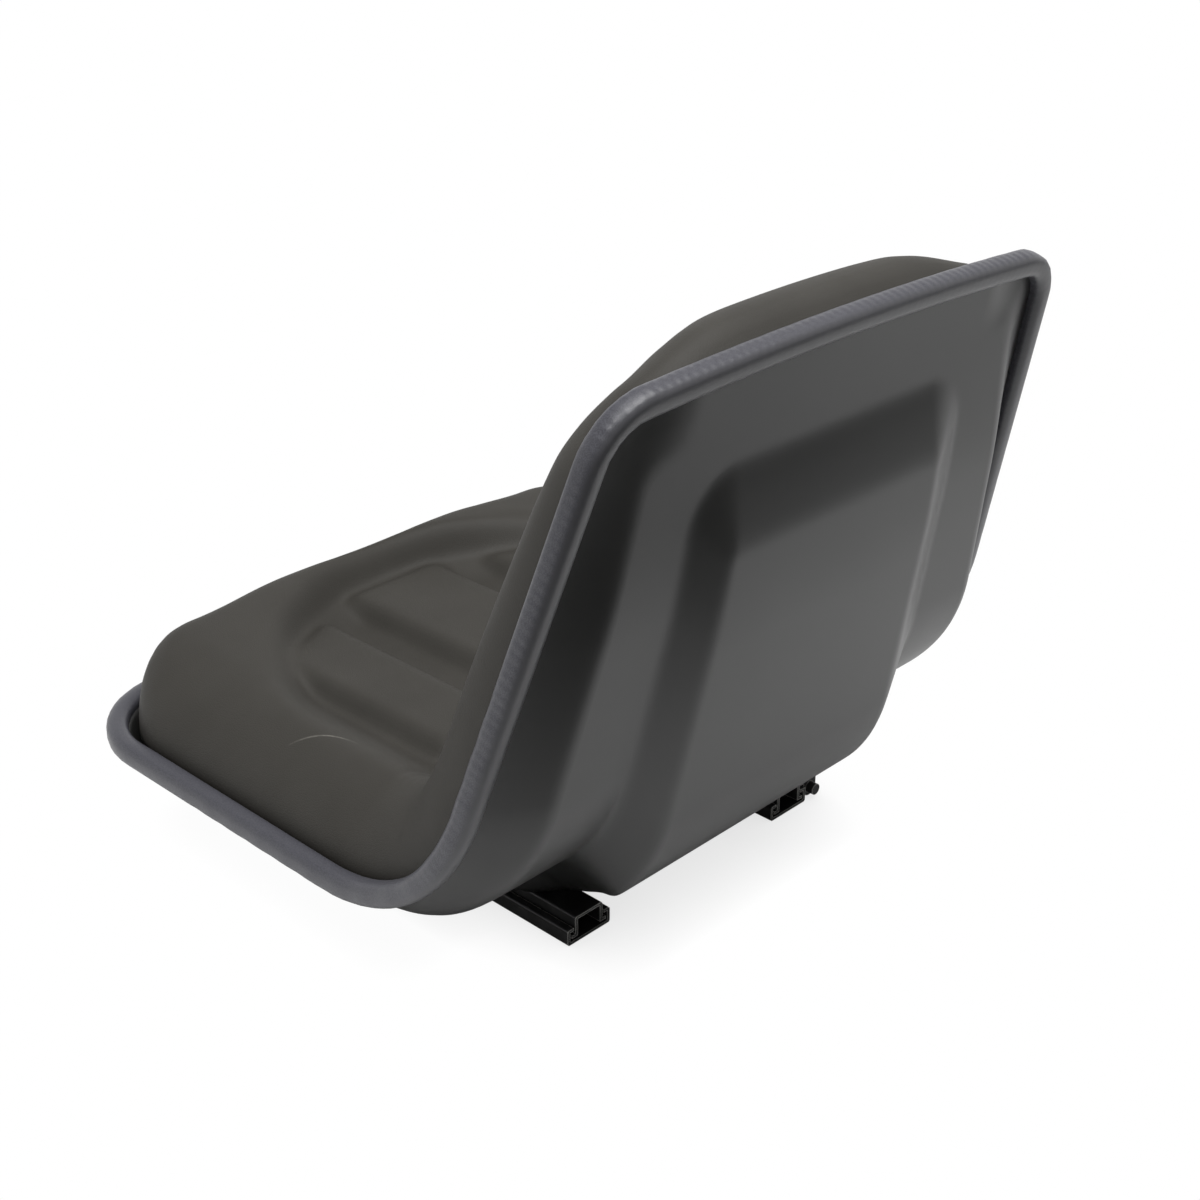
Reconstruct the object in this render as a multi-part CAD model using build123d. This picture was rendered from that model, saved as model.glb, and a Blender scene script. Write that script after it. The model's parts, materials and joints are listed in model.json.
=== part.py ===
from build123d import *
import math
import os

# Frame: millimetres, +X to the sitter's left, the sitter faces -Y, +Z up.
# The origin is the centre of the lower rails' bolt pattern, on their underside.

# Rails
rail_length = 300.0
rail_spacing = 190.0
rail_sheet = 2.0
lower_width = 36.0
lower_height = 11.0
lip_reach = 5.2
upper_width = 23.0
rail_height = 18.0
flange_low = 4.0
flange_half = 14.6
rail_corner = 1.6
slide_travel = 75.0
mount_pitch = 220.0
mount_hole = 8.5
mount_slot = 14.0

# Glide shoes
shoe_length = 40.0
shoe_end_gap = 12.0
shoe_clear = 0.3

# Fasteners between the upper rails and the pan
bolt_pitch = 200.0
bolt_size = 8.0
bolt_clear = 0.5
bolt_head_flat = 13.0
bolt_head_height = 5.3
bolt_length = 16.0
washer_size = 16.0
washer_sheet = 1.6
nut_height = 6.5
nut_clear = 0.2

# Pan sheet and its three bent lines: skin of the side lobes, raised panel, rim
pan_sheet = 1.6
skin_drop = 47.5
skin_corner_y = 192.0
skin_lean = 11.5
skin_bend = 140.0
panel_drop = rail_height
panel_step = 12.0
panel_bend = 113.0
rim_height = 73.0
rim_corner_y = 163.2
rim_lean = 15.3
rim_bend = 117.0
lobe_round = 10.0

# Outline of the whole seat, measured over the trim
seat_half = 236.0
side_taper = 0.18
taper_start = 124.0
taper_blend = 150.0
seat_front = -188.0
front_round = 70.0
seat_top = 393.0
top_crown = 7.0
top_round = 30.0
trim_cover = 4.0
flange_width = 13.0

# Raised panel
panel_half = 115.0
panel_taper = 0.088
panel_top = 302.0
panel_corner = 8.0
panel_front = -140.0
panel_slope_run = 25.0

# Edge trim
trim_thick = 14.4
trim_grip = 10.0
trim_edge = 3.5
trim_clear = 0.1

# Cushion
cushion_clear = 0.4
cushion_lap = 4.0
crest_rise = 56.0
crest_side_drop = 6.0
crest_top_drop = 17.0
roll_front = 18.0
roll_side = 60.0
roll_back = 26.0
roll_wall = 0.3
recess_rise = 23.0
recess_back_drop = 5.0
recess_half = 143.0
recess_narrow = 22.0
recess_slope = 28.0
recess_front = 47.0
recess_sag = 30.0
recess_sag_half = 95.0
recess_top = 48.0
head_round = 62.0
pad_rise = 34.0
pad_gap = 28.0
centre_pad_half = 40.0
side_pad_width = 56.0
pad_front = -140.0
side_pad_front = -105.0
pad_rear = 70.0
pad_round = 9.0
pad_edge = 4.0

# Latch lever on the sitter's right rail
rod_size = 8.0
rod_gap = 3.5
rod_z = 7.0
rod_fit = 0.06
bracket_sheet = 3.0
bracket_lobe = 6.5
bracket_inset = 4.0
lip_gap = 0.6
handle_y = -176.0
handle_out = 92.0
handle_rise = 6.0
handle_forward = 22.0
handle_bend = 18.0
grip_size = 17.0
grip_length = 74.0
grip_cap = 4.0
grip_edge = 3.0
tooth_width = 5.0
tooth_slot = 7.0
tooth_pitch = 15.0
tooth_sheet = 2.2
tooth_tip = 1.8
notch_depth = 3.0
spring_wire = 1.6
spring_turns = 5
spring_gap = 0.6
spring_flats = 10

# Values that follow from the sizes above
rail_rear = rail_length / 2
rail_x = rail_spacing / 2
outer_lip = rail_x + lower_width / 2
rod_x = -(outer_lip + rod_gap + rod_size / 2)
far = 700.0
wall_inset = trim_cover + flange_width
cushion_inset = trim_cover + trim_grip + cushion_clear
panel_corner_y = skin_corner_y + panel_step - (skin_drop - panel_drop) * math.tan(math.radians(skin_lean))

bend_reach = math.tan(math.radians(90 - skin_lean) / 2)
bolt_rear = panel_corner_y - (panel_bend - pan_sheet) * bend_reach - bolt_head_flat / math.sqrt(3) - nut_clear
bolt_places = {"front": bolt_rear - bolt_pitch, "rear": bolt_rear}


def bent_line(corner_y, corner_z, lean, bend, inset):
    """Side view of a bent sheet: a level run, an arc, and a run that leans back, moved in by inset."""
    angle = math.radians(lean)
    y = corner_y + inset * (math.tan(angle) - 1 / math.cos(angle))
    z = corner_z + inset
    top_y = y + (far - z) * math.tan(angle)
    return FilletPolyline((0, -far, z), (0, y, z), (0, top_y, far), radius=bend - inset)


def skin_line(inset):
    return bent_line(skin_corner_y, skin_drop, skin_lean, skin_bend, inset)


def panel_line(inset):
    return bent_line(panel_corner_y, panel_drop, skin_lean, panel_bend, inset)


def rim_line(inset):
    return bent_line(rim_corner_y, rim_height, rim_lean, rim_bend, inset)


def bent_slab(outer, inner, half_width=far):
    """Solid between two bent lines."""
    edges = [outer, Line(outer @ 1, inner @ 1), inner, Line(inner @ 0, outer @ 0)]
    return extrude(make_face(edges), amount=half_width, dir=(1, 0, 0), both=True)


def upright_block(half, front_y, front_radius, top, crown, top_radius):
    """Upright block seen from above and behind: rounded front corners, tapered sides, crowned top."""
    low = -far / 4
    front_face = make_face(Polyline(
        (-half, 0, low), (half, 0, low), (half, 0, taper_start), (-half, 0, taper_start), close=True))
    front = extrude(front_face, amount=-front_y, dir=(0, -1, 0))
    corners = front.faces().sort_by(Axis.Y)[0].edges().filter_by(Axis.X, reverse=True)
    front = fillet(corners, front_radius)
    shoulder = top - crown
    narrow = half - side_taper * (shoulder - taper_start)
    edges = [
        Polyline((-narrow, 0, shoulder), (-half, 0, taper_start), (-half, 0, low),
                 (half, 0, low), (half, 0, taper_start), (narrow, 0, shoulder)),
        ThreePointArc((narrow, 0, shoulder), (0, 0, top), (-narrow, 0, shoulder)),
    ]
    rear = extrude(make_face(edges), amount=far, dir=(0, 1, 0))
    rear = fillet(rear.edges().filter_by(Axis.Y).group_by(Axis.Z)[-1], top_radius)
    starts = rear.edges().filter_by(Axis.Y).filter_by(lambda edge: abs((edge @ 0.5).Z - taper_start) < 0.01)
    rear = fillet(starts, taper_blend)
    return front + rear


def outline_body(inset):
    """Block with the seat's outline over the trim, moved in by inset."""
    half = seat_half - inset * math.hypot(1, side_taper)
    return upright_block(half, seat_front + inset, front_round - inset,
                         seat_top - inset, top_crown, top_round - inset)


def on_line(line, point):
    """True where a point lies on the sheet surface that a bent line stands for."""
    return line.distance_to(Vector(0, point.Y, point.Z)) < 0.01


def tub_block(inset, lid):
    """Block that fills the pan from its skin, moved in by inset, up to the rim, moved up by lid,
    with the edges where its bent floor meets the walls."""
    floor = skin_line(inset)
    body = bent_slab(floor, rim_line(lid)) & outline_body(wall_inset + inset)

    def runs_round(edge):
        return all(on_line(floor, edge @ t) for t in (0.1, 0.5, 0.9))

    return body, body.edges().filter_by(runs_round).filter_by(Axis.X, reverse=True)


def tub(inset, lid):
    """The same block with the pan's rounded lobes."""
    edges = tub_block(inset, lid)[1]
    return fillet(edges, lobe_round - inset)


def wedge(low_points, high_points):
    """Block with flat slanted sides between two outlines."""
    faces = [make_face(Polyline(*points, close=True)) for points in (low_points, high_points)]
    return loft(faces, ruled=True)


def back_wedge(inset):
    """Room for the raised panel seen from behind: it widens towards the front at the flank slope."""
    spread = panel_slope_run / panel_step
    plane = Plane(origin=(0, panel_corner_y, panel_drop), x_dir=(1, 0, 0),
                  z_dir=(0, -math.cos(math.radians(skin_lean)), math.sin(math.radians(skin_lean))))

    def outline(depth):
        out = depth * spread - inset * math.hypot(1, spread)
        low = -far - out
        top = (panel_top - panel_drop) / math.cos(math.radians(skin_lean)) + out

        def half_at(height):
            return panel_half - panel_taper * height + out

        shoulder = top - panel_corner - out * (2 - math.sqrt(2))
        inner = half_at(shoulder) - (top - shoulder)
        points = [(-half_at(low), low), (half_at(low), low), (half_at(shoulder), shoulder),
                  (inner, top), (-inner, top), (-half_at(shoulder), shoulder)]
        return [plane.from_local_coords((x, y, depth)) for x, y in points]

    return wedge(outline(-pan_sheet), outline(far))


def under_wedge(inset):
    """Room for the lowered centre seen from below: it widens upwards at the underside's flank slope."""
    spread = panel_slope_run / (skin_drop - panel_drop)

    def outline(z):
        out = (z - panel_drop) * spread - inset * math.hypot(1, spread)
        half = panel_half + out
        return [(-half, panel_front - out, z), (half, panel_front - out, z), (half, far, z), (-half, far, z)]

    return wedge(outline(panel_drop - pan_sheet), outline(far))


def panel_body(inset):
    """Raised panel of the back, which runs on under the seat as a lowered centre, with sloped flanks."""
    slab = bent_slab(panel_line(inset), skin_line(pan_sheet + lobe_round / 2))
    return slab & back_wedge(inset) & under_wedge(inset)


def rim_flange():
    """Out-turned flange all round the pan."""
    return bent_slab(rim_line(-pan_sheet), rim_line(0)) & outline_body(trim_cover)


def make_seat_pan():
    """Pressed pan: tub and raised panel of one sheet thickness, with the rim flange."""
    body = tub(0, 0) + panel_body(0) + rim_flange()
    return body - tub(pan_sheet, cushion_lap) - panel_body(pan_sheet)


def rail_holes(z):
    """Clearance holes for the four bolts that join the upper rails to the pan."""
    hole = Cylinder((bolt_size + bolt_clear) / 2, 4 * pan_sheet)
    return [Pos(x, y, z) * hole for x in (-rail_x, rail_x) for y in bolt_places.values()]


def make_edge_trim():
    """U-section trim with a rounded bead, pushed over the flange."""
    middle = -pan_sheet / 2
    outer_line = rim_line(middle - trim_thick / 2)
    inner_line = rim_line(middle + trim_thick / 2)
    ring = (bent_slab(outer_line, inner_line) & outline_body(0)) - outline_body(trim_cover + trim_grip)
    ring = chamfer(ring.edges().filter_by(Axis.Y), trim_edge)
    slot = bent_slab(rim_line(-pan_sheet - trim_clear), rim_line(trim_clear))
    return ring - (slot & outline_body(trim_cover - trim_clear))


def pad(x, half, front_y):
    """One long pad that stands up from the recess floor."""
    length = pad_rear - front_y
    height = pad_rise - recess_rise + cushion_lap
    base = rim_height + pad_rise - height / 2
    body = Pos(x, front_y + length / 2, base) * Box(2 * half, length, height)
    body = fillet(body.edges().filter_by(Axis.Z), pad_round)
    return chamfer(body.faces().sort_by(Axis.Z)[-1].edges(), pad_edge)


def ease(low, high, value):
    """Smooth step from 0 at low to 1 at high."""
    t = min(max((value - low) / (high - low), 0), 1)
    return t * t * (3 - 2 * t)


def rim_spot(length):
    """Point on the rim line at a length from the seat's front edge, with the line's slope there."""
    turn = math.radians(90 - rim_lean)
    start = rim_corner_y - rim_bend * math.tan(turn / 2)
    angle = min(max((length - start + seat_front) / rim_bend, 0), turn)
    before = min(length - start + seat_front, 0)
    after = max(length - start + seat_front - rim_bend * turn, 0)
    y = start + before + rim_bend * math.sin(angle) + after * math.cos(turn)
    z = rim_height + rim_bend * (1 - math.cos(angle)) + after * math.sin(turn)
    return y, z, angle


def cushion_section(length, level, arc, run):
    """Cross-section of the cushion over the rim: rolls at both sides, a sunk middle."""
    y, z, angle = rim_spot(length)
    back = ease(level, level + arc, length)
    high = ease(level + arc, run, length)
    corner = front_round - cushion_inset
    front_depth = min(max(front_round - length, 0), corner)
    half = seat_half - cushion_inset - side_taper * max(z - taper_start + cushion_inset, 0)
    half -= corner - math.sqrt(corner ** 2 - front_depth ** 2)
    head_depth = max(length - (run - head_round), 0)
    half -= (head_round - math.sqrt(head_round ** 2 - head_depth ** 2)) / 2
    behind = ease(recess_front - recess_slope, recess_front + recess_slope, length)
    roll = roll_front + (roll_side - roll_front) * behind * (1 - back) + (roll_back - roll_front) * back
    ends = min((length - cushion_inset) / roll_front, (run - length) / roll_back, 1)
    inner = min(recess_half - recess_narrow * high + recess_slope / 2, half - roll)
    base = cushion_clear + trim_thick / 2 * ease(run - roll_back, run - cushion_inset - top_crown, length)
    points = [(half, base)]
    for part in (0, 0.15, 0.33, 0.6, 1):
        points.append((half - roll * part, min(part, ends)))
    points += [(inner - recess_slope * part, min(1, ends)) for part in (0.2, 0.8)]
    points += [(part * (inner - recess_slope), min(1, ends)) for part in (0.6, 0.3)]
    shape = points[:1]
    for x, part in points[1:]:
        side = ease(recess_half / 2, recess_half, x)
        crest = crest_rise - crest_side_drop * side * (1 - high) - crest_top_drop * side * high
        swell = max((1 - (1 - part) ** 2.3) ** (1 / 2.3), roll_wall)
        sag = recess_front + recess_sag * (x / recess_sag_half) ** 2
        into = min(inner - recess_slope / 2 - x, length - sag, run - recess_top - length)
        sunk = ease(-recess_slope / 2, recess_slope / 2, into)
        lift = crest * swell
        lift -= sunk * max(lift - recess_rise + recess_back_drop * back, 0)
        shape.append((x, max(lift, base + cushion_lap)))
    outline = shape + [(-x, lift) for x, lift in reversed(shape)]
    return [(x, y - lift * math.sin(angle), z + lift * math.cos(angle)) for x, lift in outline]


def make_seat_cushion():
    """One moulded cushion: rolls all round, a sunk middle, and three long pads."""
    lower = tub(pan_sheet + cushion_clear, cushion_lap)
    turn = math.radians(90 - rim_lean)
    level = rim_corner_y - rim_bend * math.tan(turn / 2) - seat_front
    arc = rim_bend * turn
    rise = seat_top - rim_height - rim_bend * (1 - math.cos(turn))
    run = level + arc + rise / math.sin(turn)
    lengths = [cushion_inset + roll_front * part for part in (0, 0.15, 0.33, 0.6, 1)]
    lengths += [recess_front + recess_slope * part for part in (0, 0.5, 1.1, 1.8, 2.5)]
    lengths += [level + arc * part for part in (0, 0.2, 0.4, 0.6, 0.8, 1)]
    lengths += [run - recess_top - recess_slope * part for part in (0.5, 0, -0.5)]
    lengths += [run - roll_back * part for part in (0.9, 0.6, 0.33, 0.15, 0)]
    rings = [make_face(Polyline(*cushion_section(at, level, arc, run), close=True)) for at in sorted(lengths)]
    body = lower + loft(rings, ruled=True)
    side_x = centre_pad_half + pad_gap + side_pad_width / 2
    body = body + pad(0, centre_pad_half, pad_front)
    for side in (-1, 1):
        body = body + pad(side * side_x, side_pad_width / 2, side_pad_front)
    return body


def lower_rail(x, notched):
    """Fixed rail: a channel with turned-in lips, slotted for the machine's bolts."""
    half = lower_width / 2
    inner = half - rail_sheet
    lip = half - lip_reach
    under = lower_height - rail_sheet
    section = make_face(Polyline(
        (-half, 0, 0), (half, 0, 0), (half, 0, lower_height), (lip, 0, lower_height), (lip, 0, under),
        (inner, 0, under), (inner, 0, rail_sheet), (-inner, 0, rail_sheet), (-inner, 0, under),
        (-lip, 0, under), (-lip, 0, lower_height), (-half, 0, lower_height), close=True))
    rail = extrude(section, amount=rail_rear, dir=(0, 1, 0), both=True)
    edges = [e for e in rail.edges().filter_by(Axis.Y) if abs(abs((e @ 0.5).X) - half) < 0.01]
    rail = fillet(edges, rail_corner)
    slot = extrude(SlotOverall(mount_slot, mount_hole), amount=2 * rail_sheet, both=True)
    for y in (-mount_pitch / 2, mount_pitch / 2):
        rail = rail - Pos(0, y, 0) * slot
    if notched:
        count = 2 * round(slide_travel / tooth_pitch) + 1
        notch = Box(2 * notch_depth, tooth_slot, 4 * rail_sheet)
        for place in GridLocations(1, tooth_pitch, 1, count):
            rail = rail - Pos(-lip, 0, lower_height) * place * notch
    return Pos(x, 0, 0) * rail


def upper_rail(x):
    """Moving rail: a hat section whose flanges run under the lower rail's lips."""
    half = upper_width / 2
    inner = half - rail_sheet
    top = rail_height - rail_sheet
    flange_top = flange_low + rail_sheet
    section = make_face(Polyline(
        (-flange_half, 0, flange_low), (-inner, 0, flange_low), (-inner, 0, top), (inner, 0, top),
        (inner, 0, flange_low), (flange_half, 0, flange_low), (flange_half, 0, flange_top),
        (half, 0, flange_top), (half, 0, rail_height), (-half, 0, rail_height),
        (-half, 0, flange_top), (-flange_half, 0, flange_top), close=True))
    rail = extrude(section, amount=rail_rear, dir=(0, 1, 0), both=True)
    rail = fillet(rail.edges().filter_by(Axis.Y).group_by(Axis.Z)[-1], rail_corner)
    rail = Pos(x, 0, 0) * rail
    for hole in rail_holes(rail_height):
        rail = rail - hole
    return rail


def glide_shoe(x, side, y):
    """Nylon shoe clipped round one flange of an upper rail."""
    low = rail_sheet + shoe_clear
    high = lower_height - rail_sheet - shoe_clear
    outer = lower_width / 2 - rail_sheet - shoe_clear
    inner = upper_width / 2 + shoe_clear
    block = Pos((inner + outer) / 2, 0, (low + high) / 2) * Box(outer - inner, shoe_length, high - low)
    flange = Pos(0, 0, flange_low + rail_sheet / 2) * Box(2 * flange_half, 2 * shoe_length, rail_sheet)
    shoe = block - flange
    if side < 0:
        shoe = mirror(shoe, Plane.YZ)
    return Pos(x, y, 0) * shoe


def hexagon(across_flats, height):
    return extrude(RegularPolygon(across_flats / 2, 6, major_radius=False), amount=height)


def rail_bolt():
    """Hexagon bolt whose head hangs inside the upper rail; z = 0 is the underside of its washer face."""
    head = Pos(0, 0, -bolt_head_height) * hexagon(bolt_head_flat, bolt_head_height)
    shank = Cylinder(bolt_size / 2, bolt_length, align=(Align.CENTER, Align.CENTER, Align.MIN))
    return head + shank


def rail_washer():
    ring = Cylinder(washer_size / 2, washer_sheet, align=(Align.CENTER, Align.CENTER, Align.MIN))
    return ring - Cylinder((bolt_size + bolt_clear) / 2, 4 * washer_sheet)


def weld_nut():
    nut = hexagon(bolt_head_flat, nut_height)
    return nut - Cylinder((bolt_size + nut_clear) / 2, 4 * nut_height)


def lever_bracket(y):
    """Plate from the upper rail's side over the lower rail's lip, with a lobe that carries the rod."""
    rail_side = -(rail_x + upper_width / 2)
    low = lower_height + lip_gap
    high = rail_height - lip_gap
    outer = rod_x - bracket_lobe
    inner = rod_x + bracket_lobe
    arm = make_face(Polyline(
        (rail_side, 0, low), (rail_side, 0, high), (outer, 0, high), (outer, 0, rod_z),
        (inner, 0, rod_z), (inner, 0, low), close=True))
    plate = extrude(arm, amount=bracket_sheet / 2, dir=(0, 1, 0), both=True)
    lobe = Pos(rod_x, 0, rod_z) * Rot(90, 0, 0) * Cylinder(bracket_lobe, bracket_sheet)
    bore = Pos(rod_x, 0, rod_z) * Rot(90, 0, 0) * Cylinder(rod_size / 2 + rod_fit, 2 * bracket_sheet)
    return Pos(0, y, 0) * (plate + lobe - bore)


def handle_path():
    """Centre line of the lever rod, from its rear end to the tip of its handle."""
    rear = (rod_x, rail_rear + bracket_sheet, rod_z)
    bend = (rod_x, handle_y, rod_z)
    tip = (rod_x - handle_out, handle_y - handle_forward, rod_z + handle_rise)
    return FilletPolyline(rear, bend, tip, radius=handle_bend)


def make_lever_rod():
    path = handle_path()
    end = Plane(origin=path @ 0, z_dir=path % 0)
    return sweep(end * Circle(rod_size / 2), path=path)


def make_lever_grip():
    """Moulded grip pushed over the end of the handle."""
    path = handle_path()
    seat = Plane(origin=path @ 1, z_dir=path % 1)
    low = (Align.CENTER, Align.CENTER, Align.MIN)
    body = Pos(0, 0, grip_cap - grip_length) * Cylinder(grip_size / 2, grip_length, align=low)
    body = chamfer(body.edges(), grip_edge)
    bore = Pos(0, 0, -grip_length) * Cylinder(rod_size / 2 + rod_fit, grip_length, align=low)
    return seat * (body - bore)


def make_latch_tooth():
    """Hooked finger on the rod that drops into the notches of the lower rail's lip."""
    tip_x = -(rail_x + lower_width / 2 - lip_reach) - tooth_tip
    half = tooth_sheet / 2
    level = (lower_height + lip_gap + rail_height) / 2
    hook = make_face(Polyline(
        (rod_x - half, 0, rod_z), (rod_x + half, 0, rod_z), (rod_x + half, 0, level - half),
        (tip_x - half, 0, level - half), (tip_x - half, 0, lower_height + lip_gap),
        (tip_x + half, 0, lower_height + lip_gap), (tip_x + half, 0, level + half),
        (rod_x - half, 0, level + half), close=True))
    finger = extrude(hook, amount=tooth_width / 2, dir=(0, 1, 0), both=True)
    hub = Pos(rod_x, 0, rod_z) * Rot(90, 0, 0) * Cylinder(rod_size / 2 + tooth_sheet / 2, tooth_width)
    bore = Pos(rod_x, 0, rod_z) * Rot(90, 0, 0) * Cylinder(rod_size / 2 + rod_fit, 2 * tooth_width)
    return finger + hub - bore


def make_lever_spring():
    """Coil round the rod against the rear bracket, its wire drawn with flats."""
    radius = rod_size / 2 + spring_gap + spring_wire / 2
    pitch = 1.25 * spring_wire
    start = rail_rear - bracket_inset - bracket_sheet / 2 - spring_wire
    points = []
    for step in range(spring_turns * spring_flats + 1):
        angle = 2 * math.pi * step / spring_flats
        y = start - pitch * step / spring_flats
        points.append((rod_x + radius * math.cos(angle), y, rod_z + radius * math.sin(angle)))
    path = Polyline(*points)
    wire = Plane(origin=path @ 0, z_dir=path % 0) * RegularPolygon(spring_wire / 2, 6)
    return sweep(wire, path=path, transition=Transition.RIGHT)


nodes = {}
pan = make_seat_pan()
for hole in rail_holes(rail_height):
    pan = pan - hole
nodes["seat_pan"] = pan
nodes["seat_cushion"] = make_seat_cushion()
nodes["edge_trim"] = make_edge_trim()
shoe_y = rail_rear - shoe_end_gap - shoe_length / 2
for name, x in (("left", rail_x), ("right", -rail_x)):
    nodes["lower_rail_" + name] = lower_rail(x, notched=x < 0)
    nodes["upper_rail_" + name] = upper_rail(x)
    for place, y in (("front", -1), ("rear", 1)):
        spot = name + "_" + place
        for edge, side in (("outer", 1), ("inner", -1)):
            outward = side if x > 0 else -side
            nodes["glide_shoe_" + spot + "_" + edge] = glide_shoe(x, outward, y * shoe_y)
        bolt_spot = Pos(x, bolt_places[place], 0)
        head_z = rail_height - rail_sheet - washer_sheet
        nodes["rail_bolt_" + spot] = bolt_spot * Pos(0, 0, head_z) * rail_bolt()
        nodes["rail_washer_" + spot] = bolt_spot * Pos(0, 0, head_z) * rail_washer()
        nodes["weld_nut_" + spot] = bolt_spot * Pos(0, 0, panel_drop + pan_sheet) * weld_nut()
nodes["lever_bracket_rear"] = lever_bracket(rail_rear - bracket_inset)
nodes["lever_bracket_front"] = lever_bracket(bracket_inset - rail_rear)
nodes["lever_rod"] = make_lever_rod()
nodes["lever_grip"] = make_lever_grip()
nodes["latch_tooth"] = make_latch_tooth()
nodes["lever_spring"] = make_lever_spring()

os.makedirs("parts", exist_ok=True)
for name, body in nodes.items():
    export_step(body, "parts/" + name + ".step")
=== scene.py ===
import bpy
import json
import math
import numpy as np
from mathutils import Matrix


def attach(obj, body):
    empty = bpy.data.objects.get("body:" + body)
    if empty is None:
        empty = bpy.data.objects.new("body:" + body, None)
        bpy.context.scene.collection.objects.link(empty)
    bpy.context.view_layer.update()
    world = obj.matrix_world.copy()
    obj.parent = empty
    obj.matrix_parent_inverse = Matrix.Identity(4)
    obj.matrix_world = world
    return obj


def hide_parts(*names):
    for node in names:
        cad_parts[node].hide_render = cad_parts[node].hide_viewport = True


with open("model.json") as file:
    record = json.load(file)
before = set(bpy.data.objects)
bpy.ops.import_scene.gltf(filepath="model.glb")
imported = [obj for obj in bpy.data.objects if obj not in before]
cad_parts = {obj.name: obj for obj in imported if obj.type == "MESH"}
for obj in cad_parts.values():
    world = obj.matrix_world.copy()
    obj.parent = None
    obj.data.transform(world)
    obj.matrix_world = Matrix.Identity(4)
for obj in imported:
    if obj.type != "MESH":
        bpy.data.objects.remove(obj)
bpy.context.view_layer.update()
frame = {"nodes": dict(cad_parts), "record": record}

# Sizes of the seat in millimetres, as in the part's source. Each bent line has the corner where its level
# run and its back would meet (y, z), the lean of the back in degrees and the radius of the bend.
RIM = (163.2, 73.0, 15.3, 117.0)
SKIN = (192.0, 47.5, 11.5, 140.0)
PANEL = (197.9, 18.0, 11.5, 113.0)
SEAT_FRONT, SEAT_TOP, SEAT_HALF = -188.0, 393.0, 236.0
SIDE_TAPER, TAPER_START, TAPER_BLEND = 0.18, 124.0, 14.0
TOP_CROWN, FRONT_ROUND, TOP_ROUND = 7.0, 70.0, 30.0
SHEET = 1.6
MM = 0.001

# Points on each stretch of the outline, and cells of the pan's and the cushion's grids.
CORNER_STEPS, SIDE_POINTS, EDGE_POINTS = 32, 160, 60
CELLS_X, CELLS_S = 170, 250
MIRROR = np.array([-1, 1])


def line_point(line, station):
    """Point and inward normal on a bent line.

    Stations 0 to 1 are the level run, 1 to 2 the bend and 2 to 3 the back.
    """
    corner_y, corner_z, lean, bend = line
    lean = math.radians(lean)
    turn = math.pi / 2 - lean
    start = corner_y - bend * math.tan(turn / 2)
    angle = np.clip(station - 1, 0, 1) * turn
    y = start + bend * np.sin(angle)
    z = corner_z + bend * (1 - np.cos(angle))
    y = y + np.where(station < 1, (SEAT_FRONT - start) * (1 - station), 0)
    back_top = SEAT_TOP - corner_z - bend * (1 - math.cos(turn))
    rise = np.where(station > 2, (station - 2) * back_top, 0)
    y = y + rise * math.tan(lean)
    z = z + rise
    return y, z, -np.sin(angle), np.cos(angle)


def rim_lengths():
    """Lengths of the rim's level run, bend and back."""
    corner_y, corner_z, lean, bend = RIM
    turn = math.pi / 2 - math.radians(lean)
    level = corner_y - bend * math.tan(turn / 2) - SEAT_FRONT
    back = (SEAT_TOP - corner_z - bend * (1 - math.cos(turn))) / math.cos(math.radians(lean))
    return level, bend * turn, back


LEVEL, BEND, BACK = rim_lengths()
RUN = LEVEL + BEND + BACK


def station_at(s):
    """Station for a length s along the rim from its front edge."""
    inside = np.interp(s, [0, LEVEL, LEVEL + BEND, RUN], [0, 1, 2, 3])
    return np.where(s < 0, s / LEVEL, np.where(s > RUN, 3 + (s - RUN) / BACK, inside))


def half_width(s):
    """Half the width over the trim: level up to the taper's start, then narrowing up the back."""
    over = line_point(RIM, station_at(s))[1] - TAPER_START
    return SEAT_HALF - SIDE_TAPER * (over + np.hypot(over, TAPER_BLEND)) / 2


def corner_curve(start, corner, end):
    """Rounded corner: a quarter arc, sheared where the corner isn't square."""
    t = np.linspace(0, 1, CORNER_STEPS + 1)[:, None]
    weight = math.sqrt(0.5)
    top = (1 - t) ** 2 * start + 2 * weight * t * (1 - t) * corner + t ** 2 * end
    return top / ((1 - t) ** 2 + 2 * weight * t * (1 - t) + t ** 2)


def half_outline(inset, front_round, top_round):
    """Right half of the flattened outline, moved in by inset.

    It comes as front edge, side and top edge, cut at mid-corner.
    """
    shoulder = RUN - inset - TOP_CROWN
    front_corner = np.array([SEAT_HALF - inset, inset])
    top_corner = np.array([half_width(shoulder) - inset, shoulder])
    front_arc = corner_curve(front_corner - [front_round, 0], front_corner,
                             front_corner + [0, front_round])
    side_s = np.linspace(front_corner[1] + front_round, shoulder - top_round, SIDE_POINTS)
    side = np.stack([half_width(side_s) - inset, side_s], 1)
    across = np.linspace(top_corner[0] - top_round, 0, EDGE_POINTS)
    crown = TOP_CROWN * (1 - (across / top_corner[0]) ** 2)
    top = np.stack([across, shoulder + crown], 1)
    top_arc = corner_curve(side[-1], top_corner, top[0])
    front = np.stack([np.linspace(0, front_arc[0, 0], EDGE_POINTS), np.full(EDGE_POINTS, inset)], 1)
    mid = CORNER_STEPS // 2
    return (np.concatenate([front, front_arc[1:mid + 1]]),
            np.concatenate([front_arc[mid:], side[1:], top_arc[1:mid + 1]]),
            np.concatenate([top_arc[mid:], top[1:]]))


def even_points(points, count):
    """Points spread evenly along a polyline, count runs."""
    length = np.concatenate([[0], np.cumsum(np.linalg.norm(np.diff(points, axis=0), axis=1))])
    at = np.linspace(0, length[-1], count + 1)
    return np.stack([np.interp(at, length, points[:, 0]), np.interp(at, length, points[:, 1])], 1)


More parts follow.
